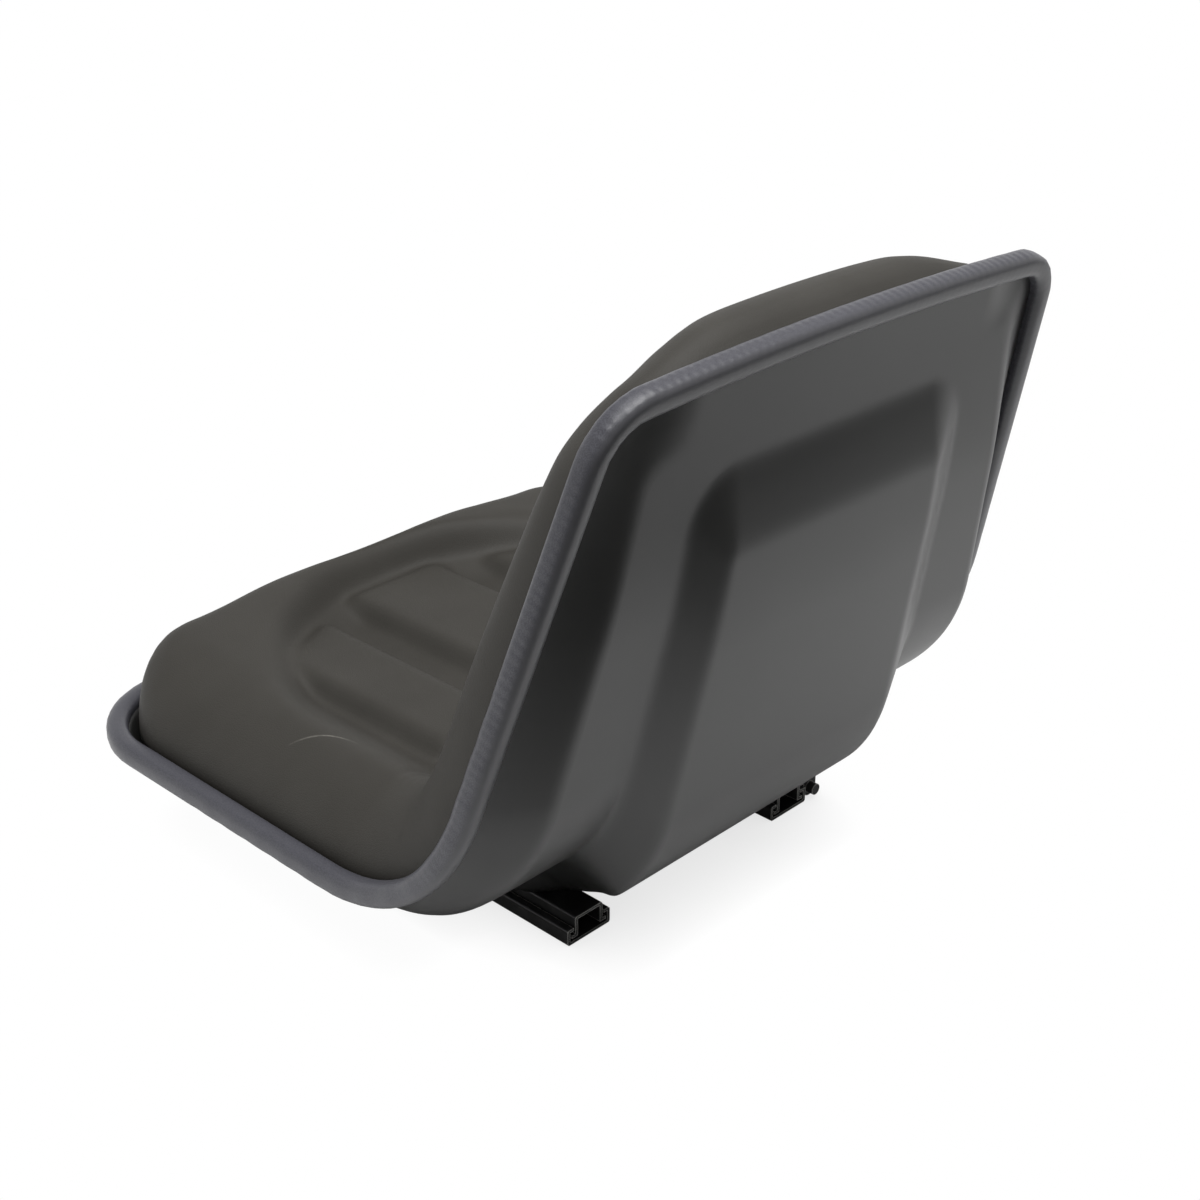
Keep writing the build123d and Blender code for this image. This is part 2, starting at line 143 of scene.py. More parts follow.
def whole_outline(inset, front_round, top_round, count):
    """The outline all round, from the middle of the front edge back to it."""
    front, side, top = half_outline(inset, front_round, top_round)
    right = np.concatenate([front, side[1:], top[1:]])
    return even_points(np.concatenate([right, (right * MIRROR)[::-1][1:]]), count)


def flat_patch(insets, radii):
    """Grid of flattened points.

    Its outer rings follow the outline at the insets, and the rest is filled between.
    """
    grid = np.zeros((CELLS_X + 1, CELLS_S + 1, 2))
    for ring, (inset, (front_round, top_round)) in enumerate(zip(insets, radii)):
        front, side, top = half_outline(inset, front_round, top_round)
        nx, ns = CELLS_X - 2 * ring, CELLS_S - 2 * ring
        low = even_points(np.concatenate([(front * MIRROR)[::-1], front[1:]]), nx)
        high = even_points(np.concatenate([top, (top * MIRROR)[::-1][1:]]), nx)[::-1]
        right = even_points(side, ns)
        left = right * MIRROR
        a, b = ring, ring + nx + 1
        c, d = ring, ring + ns + 1
        if ring == len(insets) - 1:
            u = np.linspace(0, 1, nx + 1)[:, None, None]
            v = np.linspace(0, 1, ns + 1)[None, :, None]
            corners = ((1 - u) * (1 - v) * low[0] + u * (1 - v) * low[-1]
                       + (1 - u) * v * high[0] + u * v * high[-1])
            grid[a:b, c:d] = ((1 - v) * low[:, None] + v * high[:, None]
                              + (1 - u) * left[None] + u * right[None] - corners)
        grid[a:b, c] = low
        grid[a:b, d - 1] = high
        grid[a, c:d] = left
        grid[b - 1, c:d] = right
    return grid


def ring_values(values, fill):
    """Spreads one value for each outer ring over the grid."""
    out = np.full((CELLS_X + 1, CELLS_S + 1), float(fill))
    for ring in reversed(range(len(values))):
        out[ring, ring:CELLS_S + 1 - ring] = values[ring]
        out[CELLS_X - ring, ring:CELLS_S + 1 - ring] = values[ring]
        out[ring:CELLS_X + 1 - ring, ring] = values[ring]
        out[ring:CELLS_X + 1 - ring, CELLS_S - ring] = values[ring]
    return out


def soft_ramp(t, soft):
    """Ramp from 0 to 1 with rounded ends."""
    low = np.maximum(t, 0) + np.maximum(soft - np.abs(t), 0) ** 2 / (4 * soft)
    high = 1 - low
    return 1 - np.maximum(high, 0) - np.maximum(soft - np.abs(high), 0) ** 2 / (4 * soft)


def smooth_step(low, high, value):
    """0 before low, 1 after high, and an eased rise between them."""
    t = np.clip((value - low) / (high - low), 0, 1)
    return t * t * (3 - 2 * t)


def drawn_in(s):
    """Share of the skin's depth that is left: towards the top the sheet is drawn in to the rim."""
    return 1 - 0.5 * smooth_step(RUN - 150, RUN - 5, s)


def vertex_places(piece):
    flat = np.zeros(len(piece.data.vertices) * 3)
    piece.data.vertices.foreach_get("co", flat)
    return flat.reshape(-1, 3)


def move_vertices(piece, points):
    """Moves the vertices to points given in millimetres."""
    piece.data.vertices.foreach_set("co", (points * MM).ravel())
    piece.data.update()


def new_grid(name, points):
    """Adds a grid and moves its vertices to the points."""
    bpy.ops.object.select_all(action="DESELECT")
    bpy.ops.mesh.primitive_grid_add(x_subdivisions=CELLS_X, y_subdivisions=CELLS_S, size=2)
    piece = bpy.context.object
    piece.name = name
    flat = vertex_places(piece)
    i = np.rint((flat[:, 0] + 1) / 2 * CELLS_X).astype(int)
    j = np.rint((flat[:, 1] + 1) / 2 * CELLS_S).astype(int)
    move_vertices(piece, points[i, j])
    return piece


def select_only(piece):
    bpy.ops.object.select_all(action="DESELECT")
    piece.select_set(True)
    bpy.context.view_layer.objects.active = piece


def edit_whole(piece, operator, **settings):
    """Runs one mesh operator on all of a piece."""
    select_only(piece)
    bpy.ops.object.mode_set(mode="EDIT")
    bpy.ops.mesh.select_all(action="SELECT")
    operator(**settings)
    bpy.ops.object.mode_set(mode="OBJECT")


def finish_piece(piece, node, slot):
    """Smooths a piece, gives it its finish and lets it stand for its node on the sliding seat."""
    select_only(piece)
    bpy.ops.object.shade_smooth()
    piece.data.materials.clear()
    piece.data.materials.append(finishes[slot])
    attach(piece, "seat")
    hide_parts(node)


def linear(hex_colour):
    """sRGB hex value to linear RGBA."""
    out = []
    for k in (1, 3, 5):
        c = int(hex_colour[k:k + 2], 16) / 255
        out.append(c / 12.92 if c <= 0.04045 else ((c + 0.055) / 1.055) ** 2.4)
    return (*out, 1.0)


def fill(tree, node, **inputs):
    """Sets a node's inputs, named, or numbered as in _0; an input that is given a socket is linked."""
    for key, value in inputs.items():
        socket = node.inputs[int(key[1:]) if key[0] == "_" else key.replace("_", " ")]
        if isinstance(value, bpy.types.NodeSocket):
            tree.links.new(value, socket)
        else:
            socket.default_value = value


def add(tree, kind, output, settings=None, stops=(), **inputs):
    """Adds a node with its properties, colour stops and inputs, and gives one of its outputs."""
    node = tree.nodes.new("ShaderNode" + kind)
    for key, value in (settings or {}).items():
        setattr(node, key, value)
    for k, (place, colour) in enumerate(stops):
        node.color_ramp.elements[k].position = place
        node.color_ramp.elements[k].color = linear(colour)
    fill(tree, node, **inputs)
    return node.outputs[output]


DOT, SUBTRACT, ADD, SCALE, MULTIPLY, MULTIPLY_ADD, ABSOLUTE, SINE, MAXIMUM = (
    {"operation": name} for name in ("DOT_PRODUCT", "SUBTRACT", "ADD", "SCALE", "MULTIPLY", "MULTIPLY_ADD",
                                     "ABSOLUTE", "SINE", "MAXIMUM"))
COLOURS = {"data_type": "RGBA"}
EASED = {"interpolation_type": "SMOOTHSTEP"}
MIXED_COLOUR = 2


def new_material(name):
    """A material, its node tree, its shader and the place of each point on its piece."""
    material = bpy.data.materials.new(name)
    material.use_nodes = True
    tree = material.node_tree
    return material, tree, tree.nodes["Principled BSDF"], add(tree, "TexCoord", "Object")


def powder_coat():
    """Black polyester powder coat on pressed steel: satin, clouded very faintly, with an orange peel about
    1 mm wide that softens the highlights."""
    material, tree, shader, place = new_material("powder_coated_steel")
    cloud = add(tree, "TexNoise", "Fac", Vector=place, Scale=9.0, Detail=3.0)
    shade = add(tree, "ValToRGB", "Color", stops=[(0.3, "#1d1d1c"), (0.7, "#232322")], Fac=cloud)
    gloss = add(tree, "MapRange", "Result", Value=cloud, To_Min=0.36, To_Max=0.44)
    peel = add(tree, "TexNoise", "Fac", Vector=place, Scale=900.0, Detail=2.0)
    bump = add(tree, "Bump", "Normal", Strength=0.05, Distance=0.0004, Height=peel)
    fill(tree, shader, Base_Color=shade, Roughness=gloss, Normal=bump, IOR=1.5)
    return material


def rail_enamel():
    """Black stoving enamel on rolled rails: glossier than the pan, dulled to dark grey in patches, and with
    a pale painted highlight, the colour of bare metal, within about 2 mm of its edges."""
    material, tree, shader, place = new_material("black_enamel_steel")
    rub = add(tree, "TexNoise", "Fac", Vector=place, Scale=60.0, Detail=4.0)
    shade = add(tree, "ValToRGB", "Color", stops=[(0.45, "#2b2b2b"), (0.75, "#3a3a3a")], Fac=rub)
    gloss = add(tree, "MapRange", "Result", Value=rub, To_Min=0.28, To_Max=0.42)
    # Painted highlight: the colour turns pale grey within about 2 mm of the edges, where the rounded normal
    # turns away from the flat one.
    flat_normal = add(tree, "NewGeometry", "Normal")
    round_normal = add(tree, "Bevel", "Normal", {"samples": 8}, Radius=0.0018)
    turn = add(tree, "VectorMath", "Value", DOT, _0=flat_normal, _1=round_normal)
    edge = add(tree, "MapRange", "Result", Value=turn, From_Min=0.97, From_Max=0.78)
    painted_edge_highlight = add(tree, "Mix", MIXED_COLOUR, COLOURS, Factor=edge, _6=shade, _7=linear("#b4b3af"))
    fill(tree, shader, Base_Color=painted_edge_highlight, Roughness=gloss)
    return material


def pale_streak(tree, place, shade):
    """One pale streak, 45 mm long and about 1 mm wide, painted across the top of the left roll: a shallow
    arc about its middle, broken up by a fine grit and fading to its ends."""
    middle, along, side = (0.1785, 0.0139, 0), (-0.555, 0.832, 0), (0.832, 0.555, 0)
    sag = -10.0
    spot = add(tree, "VectorMath", "Vector", SUBTRACT, _0=place, _1=middle)
    run = add(tree, "VectorMath", "Value", DOT, _0=spot, _1=along)
    off = add(tree, "VectorMath", "Value", DOT, _0=spot, _1=side)
    squared = add(tree, "Math", "Value", MULTIPLY, _0=run, _1=run)
    line = add(tree, "Math", "Value", MULTIPLY_ADD, _0=squared, _1=sag, _2=off)
    line = add(tree, "Math", "Value", ABSOLUTE, _0=line)
    thin = add(tree, "MapRange", "Result", Value=line, From_Min=0.0002, From_Max=0.0008,
               To_Min=1.0, To_Max=0.0)
    run = add(tree, "Math", "Value", ABSOLUTE, _0=run)
    ends = add(tree, "MapRange", "Result", Value=run, From_Min=0.008, From_Max=0.023,
               To_Min=1.0, To_Max=0.0)
    grit = add(tree, "TexNoise", "Fac", Vector=place, Scale=400.0, Detail=2.0)
    mask = add(tree, "Math", "Value", MULTIPLY, _0=thin, _1=ends)
    mask = add(tree, "Math", "Value", MULTIPLY, _0=mask, _1=grit)
    return add(tree, "Mix", MIXED_COLOUR, COLOURS, Factor=mask, _6=shade, _7=linear("#7d7a74"))


def grained_vinyl():
    """Vacuum-formed black vinyl on foam: a leather grain about 1.6 mm wide, matt, slightly brown."""
    material, tree, shader, place = new_material("grained_vinyl")
    bend = add(tree, "TexNoise", "Color", Vector=place, Scale=300.0, Detail=2.0)
    push = add(tree, "VectorMath", "Vector", SCALE, _0=bend, Scale=0.0012)
    spot = add(tree, "VectorMath", "Vector", ADD, _0=place, _1=push)
    grain = add(tree, "TexVoronoi", "Distance", {"feature": "DISTANCE_TO_EDGE"}, Vector=spot, Scale=620.0)
    crack = add(tree, "MapRange", "Result", Value=grain, From_Max=0.16)
    bump = add(tree, "Bump", "Normal", Strength=0.18, Distance=0.0003, Height=crack)
    cloud = add(tree, "TexNoise", "Fac", Vector=place, Scale=14.0, Detail=3.0)
    shade = add(tree, "ValToRGB", "Color", stops=[(0.3, "#363430"), (0.7, "#3c3a36")], Fac=cloud)
    shade = pale_streak(tree, place, shade)
    fill(tree, shader, Base_Color=shade, Normal=bump, Roughness=0.6, IOR=1.33)
    return material


def trim_pvc():
    """Extruded PVC edge trim over a clipped steel core: lavender grey with a sanded skin and a greyer lip
    behind. On the back the clips rib its outer face, and each rib catches its own small highlight."""
    material, tree, shader, place = new_material("extruded_pvc")
    rib = add(tree, "Attribute", "Fac", {"attribute_name": "rib"})
    lip = add(tree, "Attribute", "Fac", {"attribute_name": "lip"})
    turn = add(tree, "Math", "Value", MULTIPLY, _0=rib, _1=2 * math.pi)
    wave = add(tree, "Math", "Value", SINE, _0=turn)
    face = add(tree, "MapRange", "Result", Value=lip, To_Min=1.0, To_Max=0.1)
    height = add(tree, "SeparateXYZ", "Z", Vector=place)
    back = add(tree, "MapRange", "Result", Value=height, From_Min=0.085, From_Max=0.2, To_Min=0.06)
    face = add(tree, "Math", "Value", MULTIPLY, _0=face, _1=back)
    ribs = add(tree, "Math", "Value", MULTIPLY, _0=wave, _1=face)
    sand = add(tree, "TexNoise", "Fac", Vector=place, Scale=1300.0, Detail=2.0)
    skin = add(tree, "ValToRGB", "Color", stops=[(0.35, "#404046"), (0.65, "#505056")], Fac=sand)
    shade = add(tree, "Mix", MIXED_COLOUR, COLOURS, Factor=lip, _6=skin, _7=linear("#4e4e51"))
    rough = add(tree, "Bump", "Normal", Strength=0.3, Distance=0.0002, Height=sand)
    bump = add(tree, "Bump", "Normal", Strength=0.13, Distance=0.0006, Height=ribs, Normal=rough)
    fill(tree, shader, Base_Color=shade, Normal=bump, Roughness=0.38, IOR=1.45)
    return material


def grip_pvc():
    """Dip-moulded PVC grip: matt black with a faint pebble about 1.4 mm wide."""
    material, tree, shader, place = new_material("dipped_pvc")
    pebble = add(tree, "TexNoise", "Fac", Vector=place, Scale=700.0, Detail=2.0)
    shade = add(tree, "ValToRGB", "Color", stops=[(0.3, "#141414"), (0.7, "#1c1c1c")], Fac=pebble)
    bump = add(tree, "Bump", "Normal", Strength=0.3, Distance=0.0004, Height=pebble)
    fill(tree, shader, Base_Color=shade, Normal=bump, Roughness=0.6)
    return material


def natural_nylon():
    """Injection-moulded nylon shoes: ivory and waxy, with faint clouds."""
    material, tree, shader, place = new_material("moulded_nylon")
    cloud = add(tree, "TexNoise", "Fac", Vector=place, Scale=120.0, Detail=2.0)
    shade = add(tree, "ValToRGB", "Color", stops=[(0.3, "#d6d0c0"), (0.7, "#e2ddd0")], Fac=cloud)
    fill(tree, shader, Base_Color=shade, Roughness=0.4, IOR=1.53)
    return material


def plated_steel(name, dark, pale, low, high):
    """Bright or oiled steel: metallic, with a fine cloudy grain."""
    material, tree, shader, place = new_material(name)
    cloud = add(tree, "TexNoise", "Fac", Vector=place, Scale=260.0, Detail=4.0)
    shade = add(tree, "ValToRGB", "Color", stops=[(0.3, dark), (0.7, pale)], Fac=cloud)
    gloss = add(tree, "MapRange", "Result", Value=cloud, To_Min=low, To_Max=high)
    fill(tree, shader, Base_Color=shade, Roughness=gloss, Metallic=1.0)
    return material


finishes = {
    "pan_paint": powder_coat(),
    "rail_paint": rail_enamel(),
    "vinyl": grained_vinyl(),
    "trim_pvc": trim_pvc(),
    "grip_pvc": grip_pvc(),
    "nylon": natural_nylon(),
    "zinc": plated_steel("zinc_plate", "#a9a9a2", "#c6c6c0", 0.28, 0.42),
    "bare_steel": plated_steel("oiled_steel", "#6f6b66", "#8f8b85", 0.3, 0.5),
}
for subpart in frame["record"]["subparts"]:
    node = frame["nodes"][subpart["node"]]
    node.data.materials.clear()
    node.data.materials.append(finishes[subpart["material_slot"]])


# Rings of the pan from its edge inwards: inset, then the share of the way from the rim to the skin
# on the lobes, on the back's sides and at the top.
FLANGE = 0.064
WALL = [
    (4.0, FLANGE, FLANGE, FLANGE), (8.5, FLANGE, FLANGE, 0.52), (12.0, FLANGE, FLANGE, 0.96),
    (13.4, 0.085, 0.07, 0.99), (14.6, 0.13, 0.09, 1.0), (16.5, 0.24, 0.14, 1.0), (19.0, 0.38, 0.215, 1.0),
    (22.0, 0.54, 0.315, 1.0), (25.0, 0.69, 0.42, 1.0), (28.0, 0.81, 0.525, 1.0), (31.0, 0.9, 0.63, 1.0),
    (34.0, 0.955, 0.735, 1.0), (36.5, 0.98, 0.82, 1.0), (38.8, 0.995, 0.89, 1.0), (41.0, 1.0, 0.945, 1.0),
    (43.5, 1.0, 0.98, 1.0), (46.5, 1.0, 1.0, 1.0)]
LEAST_ROUND = 12

# The raised panel: half width at its lowest, how it narrows with height and at the bend, where its top and
# front edges lie, the width of its sloped flanks and the radius of its upper corners.
PANEL_HALF, PANEL_NARROWS, PANEL_WAIST = 115, 0.088, 20
PANEL_TOP, PANEL_FRONT, PANEL_FLANK, PANEL_CORNER = 302, -140, 25, 5
BACK_STARTS, WELL_BELOW = 120, -200


def raised_panel(x, station, skin_y, skin_z):
    """1 on the raised panel, 0 outside its flanks."""
    foot = smooth_step(1.0, 1.2, station) * smooth_step(1.62, 1.3, station)
    half = PANEL_HALF - PANEL_NARROWS * (skin_z - PANEL[1]) - PANEL_WAIST * foot
    side = np.abs(x) - half
    over = np.where(skin_z > BACK_STARTS, skin_z - PANEL_TOP, WELL_BELOW)
    corner = np.hypot(np.maximum(side + PANEL_CORNER, 0), np.maximum(over + PANEL_CORNER, 0)) - PANEL_CORNER
    outside = np.maximum(np.maximum(np.minimum(side, over), corner), PANEL_FRONT - skin_y)
    return soft_ramp(1 - outside / PANEL_FLANK, 0.16)


def pressed_pan():
    """The pan's sheet: flange, wall, rounded lobes, and the raised panel that runs on under the seat."""
    insets = [ring[0] for ring in WALL]
    flat = flat_patch(insets, [(FRONT_ROUND - d, max(TOP_ROUND - d, LEAST_ROUND)) for d in insets])
    lobe, back, top = (ring_values([ring[k] for ring in WALL], 1.0) for k in (1, 2, 3))
    x, s = flat[..., 0], flat[..., 1]
    station = station_at(s)
    upright = smooth_step(1.4, 1.85, station)
    at_top = smooth_step(RUN - 78, RUN - 52, s) * (1 - smooth_step(120, 165, np.abs(x)))
    depth = lobe + upright * (back - lobe)
    depth = (depth + at_top * (top - depth)) * drawn_in(s)
    rim_y, rim_z = line_point(RIM, station)[:2]
    skin_y, skin_z = line_point(SKIN, station)[:2]
    panel_y, panel_z = line_point(PANEL, station)[:2]
    raised = raised_panel(x, station, skin_y, skin_z)
    y = rim_y + depth * (skin_y - rim_y) + raised * (panel_y - skin_y)
    z = rim_z + depth * (skin_z - rim_z) + raised * (panel_z - skin_z)
    piece = new_grid("pan_pressing", np.stack([x, y, z], -1))
    edit_whole(piece, bpy.ops.mesh.flip_normals)
    wall = piece.modifiers.new("sheet", "SOLIDIFY")
    wall.thickness = SHEET * MM
    wall.offset = -1
    bpy.ops.object.modifier_apply(modifier=wall.name)
    finish_piece(piece, "seat_pan", "pan_paint")


# The trim's bead: half its width and height, the power of its rounded section, and the ticks along it.
BEAD_WIDE, BEAD_HIGH, BEAD_POWER = 7.0, 7.2, 3
TICKS, STEPS_A_TICK, TICK_DEPTH = 340, 4, 0.9


def edge_trim():
    """Trim pushed over the flange: a rounded bead whose outer face shows the ticks of the clips inside."""
    around, long = 24, TICKS * STEPS_A_TICK
    bpy.ops.object.select_all(action="DESELECT")
    bpy.ops.mesh.primitive_torus_add(major_segments=long, minor_segments=around, major_radius=1,
                                     minor_radius=0.25)
    piece = bpy.context.object
    piece.name = "trim_bead"
    flat = vertex_places(piece)
    tube = np.hypot(flat[:, 0], flat[:, 1]) - 1
    i = np.rint(np.arctan2(flat[:, 1], flat[:, 0]) / (2 * math.pi) * long).astype(int) % long
    j = np.rint(np.arctan2(flat[:, 2], tube) / (2 * math.pi) * around).astype(int) % around
    tick = np.where(np.arange(long) % STEPS_A_TICK == 0, TICK_DEPTH, 0.0)
    points = np.zeros((long, around, 3))
    for k in range(around):
        angle = 2 * math.pi * k / around
        c, s = math.cos(angle), math.sin(angle)
        size = (abs(c) ** BEAD_POWER + abs(s) ** BEAD_POWER) ** (-1 / BEAD_POWER)
        inset = BEAD_WIDE - BEAD_WIDE * size * c
        lift = -SHEET / 2 + BEAD_HIGH * size * s
        loop = whole_outline(inset, FRONT_ROUND - inset, TOP_ROUND - inset, long)[:-1]
        y, z, normal_y, normal_z = line_point(RIM, station_at(loop[:, 1]))
        # Each tick pulls the outer face in and a little down.
        groove = tick * max(0.0, c - 0.3)
        x = loop[:, 0] * (1 - groove / 220)
        points[:, k] = np.stack([x, y + normal_y * lift, z + normal_z * lift - groove * 0.3], 1)
    move_vertices(piece, points[i, j])
    behind = smooth_step(0.35, 0.75, -np.sin(2 * math.pi * j / around))
    for name, values in (("rib", i / STEPS_A_TICK), ("lip", behind)):
        piece.data.attributes.new(name, "FLOAT", "POINT").data.foreach_set("value", values)
    piece.data.update()
    edit_whole(piece, bpy.ops.mesh.normals_make_consistent, inside=False)
    finish_piece(piece, "edge_trim", "trim_pvc")


# Heights in the cushion above the rim line: top of the roll, floor of the recess and top of the pads.
ROLL_TOP, RECESS_FLOOR, PAD_TOP = 56.5, 26, 38.5
CUSHION_RINGS = [15.0, 15.05, 15.25, 15.7, 16.4, 17.5, 19.0, 21.0, 23.5, 26.5, 30.0, 34.0]
CUSHION_EDGE, EDGE_SAMPLES = CUSHION_RINGS[0], 700
RECESS_HALF, RECESS_ROUND = 150, 50

# Each pad: its left and right side in x, its front and rear end in y, and the slant of its front end.
PADS = [(-46, 46, -141, 72, 0.0), (67, 135, -110, 72, 0.5), (-135, -67, -110, 72, -0.5)]
PAD_ROUND, PAD_SLOPE = 14, 9

# Each crease in the side rolls at the bend: its place along the rim, its turn outwards and its depth.
CREASES = [(268, 0.25, 2.4), (284, 0.1, 1.8), (301, -0.05, 1.4)]
CREASE_MIDDLE, CREASE_REACH, CREASE_WIDE = 158, 16, 4.5

# How far the cushion's middle leans over the rim at the top, and how near its underside comes to the pan.
OVERHANG, PAN_SHARE = 15, 0.86


def pad_lift(x, y, left, right, front, rear, slant):
    """1 on the top of one long pad, 0 outside its sloped sides; the corners are rounded."""
    middle, half = (left + right) / 2, (right - left) / 2
    ahead = front + slant * (x - middle)
    across = np.abs(x - middle) - half + PAD_ROUND
    along = np.maximum(ahead - y, y - rear) + PAD_ROUND
    corner = np.hypot(np.maximum(across, 0), np.maximum(along, 0))
    outside = corner + np.minimum(np.maximum(across, along), 0) - PAD_ROUND
    return soft_ramp(-outside / PAD_SLOPE, 0.22)


def roll_lift(x, s, station, away):
    """Height of the roll all round: broad on the seat's sides, steep elsewhere, lower at the corners."""
    wide = np.abs(x)
    back, high = smooth_step(1.0, 2.0, station), smooth_step(2.1, 3.0, station)
    at_side = smooth_step(70, 150, wide)
    at_front = 1 - smooth_step(20, 85, s)
    level_side = at_side * (1 - at_front) * (1 - back)
    # The roll rises over 13 mm along the front, 26 mm up the back and 60 mm on the seat's sides.
    width = 13 + 13 * back + 47 * level_side + 8 * at_front * at_side
    # It drops on the sides, at the front corners and at the top corners.
    crest = ROLL_TOP - at_side * ((2 + 6.5 * smooth_step(30, 130, s)) * (1 - high) + 18 * high)
    crest = crest - 2 * at_front * smooth_step(165, 215, wide)
    crest = crest - 3.5 * smooth_step(50, 130, wide) * smooth_step(RUN - 95, RUN - 30, s)
    dome = np.clip(away / width, 0, 1)
    power = 2.3 - 0.4 * level_side
    return crest * (1 - (1 - dome) ** power) ** (1 / power)


def recess(x, s, station):
    """How far each point is sunk, from 0 to 1, and the floor it sinks to: the front edge is an arch, and
    the slope is short in the middle and soft at the sides and up the back."""
    wide = np.abs(x)
    back, high = smooth_step(1.0, 2.0, station), smooth_step(2.1, 3.0, station)
    # The front edge is 38 mm in at the middle and further back at the sides, and the floor rises to it.
    arch = 38 + 33 * (x / 100) ** 2
    floor = RECESS_FLOOR - 8 * back + 9 * (1 - smooth_step(-5, 36, s - arch))
    across = RECESS_HALF - 29 * high - wide
    along = np.minimum(s - arch, RUN - 48 - s)
    short_by = np.hypot(np.maximum(RECESS_ROUND - across, 0), np.maximum(RECESS_ROUND - along, 0))
    into = RECESS_ROUND - short_by
    soft = smooth_step(55, 130, wide) * (0.4 + 0.6 * smooth_step(50, 130, s))
    soft = np.minimum(soft + 0.6 * smooth_step(1.0, 1.4, station), 1)
    short = np.clip((into + 15) / 18, 0, 1) ** 1.8
    return short + soft * (smooth_step(-32, 20, into) - short), floor


def moulded_cushion():
    """One moulded cushion: a roll all round, a sunk middle, three long pads, and creases at the bend."""
    radii = [(FRONT_ROUND + CUSHION_EDGE - d, TOP_ROUND + 25 - d) for d in CUSHION_RINGS]
    flat = flat_patch(CUSHION_RINGS, radii)
    x, s = flat[..., 0], flat[..., 1]
    wide, station = np.abs(x), station_at(s)
    edge = whole_outline(CUSHION_EDGE, FRONT_ROUND, TOP_ROUND + 10, EDGE_SAMPLES)
    away = np.stack([np.min(np.hypot(row[:, :1] - edge[:, 0], row[:, 1:] - edge[:, 1]), 1) for row in flat])
    away = np.minimum(away, ring_values([d - CUSHION_EDGE for d in CUSHION_RINGS], np.inf))
    rim_y, rim_z = line_point(RIM, station)[:2]
    lift = roll_lift(x, s, station, away)
    sunk, floor = recess(x, s, station)
    lift = lift - sunk * (lift - floor)
    pads = np.max([pad_lift(x, rim_y, *pad) for pad in PADS], 0)
    lift = lift + pads * np.maximum(PAD_TOP - lift, 0) * (1 - smooth_step(1.0, 1.2, station))
    for place, turn, deep in CREASES:
        line = s - place - turn * (wide - 160)
        fade = (wide - CREASE_MIDDLE) / CREASE_REACH
        lift = lift - deep * np.exp(-(line / CREASE_WIDE) ** 2) * np.exp(-fade ** 2)
    over = (1 - smooth_step(75, 185, wide)) * smooth_step(RUN - 60, RUN - 15, s) * smooth_step(3, 24, lift)
    y, z, normal_y, normal_z = line_point(RIM, station_at(s + OVERHANG * over))
    points = np.stack([x, y + normal_y * lift, z + normal_z * lift], -1)
    under = np.interp(away + 10, [ring[0] for ring in WALL], [ring[2] for ring in WALL]) - FLANGE
    under = PAN_SHARE * (under * drawn_in(s))
    skin_y, skin_z = line_point(SKIN, station)[:2]
    below = np.stack([x, rim_y + under * (skin_y - rim_y), rim_z + under * (skin_z - rim_z)], -1)
    border = away < 0.01
    below[border] = points[border]
    base = new_grid("cushion_base", below)
    edit_whole(base, bpy.ops.mesh.flip_normals)
    piece = new_grid("cushion_moulding", points)
    bpy.ops.object.mode_set(mode="EDIT")
    bpy.ops.mesh.select_all(action="DESELECT")
    bpy.ops.mesh.select_non_manifold()
    bpy.ops.mesh.select_all(action="INVERT")
    bpy.ops.mesh.vertices_smooth(factor=0.5, repeat=5)
    bpy.ops.object.mode_set(mode="OBJECT")
    base.select_set(True)
    bpy.ops.object.join()
    edit_whole(piece, bpy.ops.mesh.remove_doubles, threshold=0.02 * MM)
    finish_piece(piece, "seat_cushion", "vinyl")


pressed_pan()
edge_trim()
moulded_cushion()

WHITE = (1, 1, 1, 1)
DARK_SIDE = (0.35, 0.94, 0)


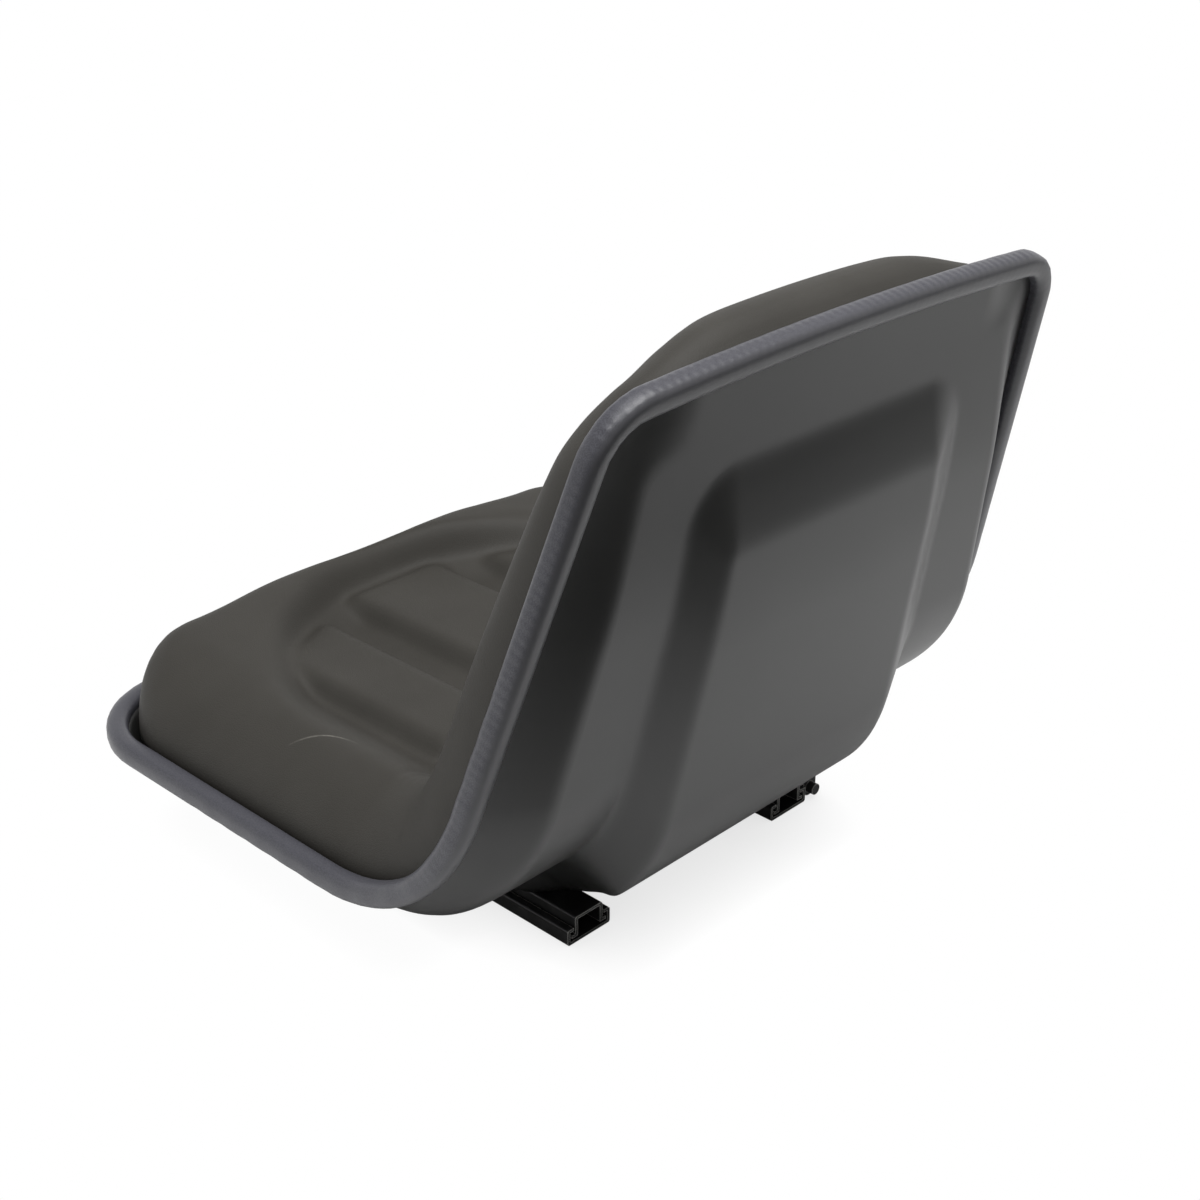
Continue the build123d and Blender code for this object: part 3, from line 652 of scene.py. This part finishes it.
def studio_floor():
    """White to the camera with a contact shadow; to other rays it darkens behind the seat, so that the
    satin back shows dark and light bands."""
    bpy.ops.object.select_all(action="DESELECT")
    bpy.ops.mesh.primitive_plane_add(size=14, location=(0, 0, 0))
    floor = bpy.context.object
    floor.name = "studio_floor"
    paint, tree, shader, place = new_material("matt_white_floor")
    reach = add(tree, "VectorMath", "Value", DOT, _0=place, _1=DARK_SIDE)
    fall = add(tree, "MapRange", "Result", EASED, Value=reach, From_Min=0.4, From_Max=0.58,
               To_Min=0.95, To_Max=0.05)
    fill(tree, shader, Base_Color=fall, Roughness=0.9)
    near = add(tree, "AmbientOcclusion", "AO", {"samples": 16}, Distance=0.05)
    shadow = add(tree, "MapRange", "Result", Value=near, To_Min=0.7, To_Max=1.0)
    glow = add(tree, "Emission", "Emission", Color=WHITE, Strength=shadow)
    seen = add(tree, "LightPath", "Is Camera Ray")
    both = add(tree, "MixShader", "Shader", _0=seen, _1=shader.outputs["BSDF"], _2=glow)
    fill(tree, tree.nodes["Material Output"], Surface=both)
    floor.data.materials.append(paint)


def studio_world():
    """White to the camera; to other rays a pale room that darkens overhead and behind the seat."""
    world = bpy.data.worlds.new("white_studio")
    bpy.context.scene.world = world
    world.use_nodes = True
    tree = world.node_tree
    away = add(tree, "TexCoord", "Generated")
    height = add(tree, "SeparateXYZ", "Z", Vector=away)
    glow = add(tree, "MapRange", "Result", EASED, Value=height, From_Min=0.25, From_Max=0.62,
               To_Min=1.0, To_Max=0.25)
    reach = add(tree, "VectorMath", "Value", DOT, _0=away, _1=DARK_SIDE)
    fall = add(tree, "MapRange", "Result", EASED, Value=reach, From_Min=-0.2, From_Max=0.5,
               To_Min=1.0, To_Max=0.18)
    light = add(tree, "Math", "Value", MULTIPLY, _0=glow, _1=fall)
    seen = add(tree, "LightPath", "Is Camera Ray")
    level = add(tree, "Math", "Value", MAXIMUM, _0=light, _1=seen)
    fill(tree, tree.nodes["Background"], Color=WHITE, Strength=level)


def lamps():
    """A broad softbox overhead and a small key: name, place, turn in degrees, size in metres and watts."""
    for name, place, turn, size, power in [
            ("top_softbox", (-0.2, 0.6, 2.5), (-10, -4, 0), 1.6, 64),
            ("key_softbox", (1.2, 0.3, 2.3), (0, 27, 10), 0.35, 16)]:
        bpy.ops.object.light_add(type="AREA", location=place, rotation=[math.radians(a) for a in turn])
        lamp = bpy.context.object
        lamp.name = name
        lamp.data.size = size
        lamp.data.energy = power


def camera():
    """Camera at the photograph's place, solved from the rails and the symmetric pan."""
    bpy.ops.object.camera_add(location=(0.7639, 0.8046, 0.6836),
                              rotation=(math.radians(63.85), 0, math.radians(133.98)))
    view = bpy.context.object
    view.data.sensor_width = 36
    view.data.lens = 56.84
    bpy.context.scene.camera = view


studio_floor()
studio_world()
lamps()
camera()
bpy.context.scene.view_settings.view_transform = "Standard"
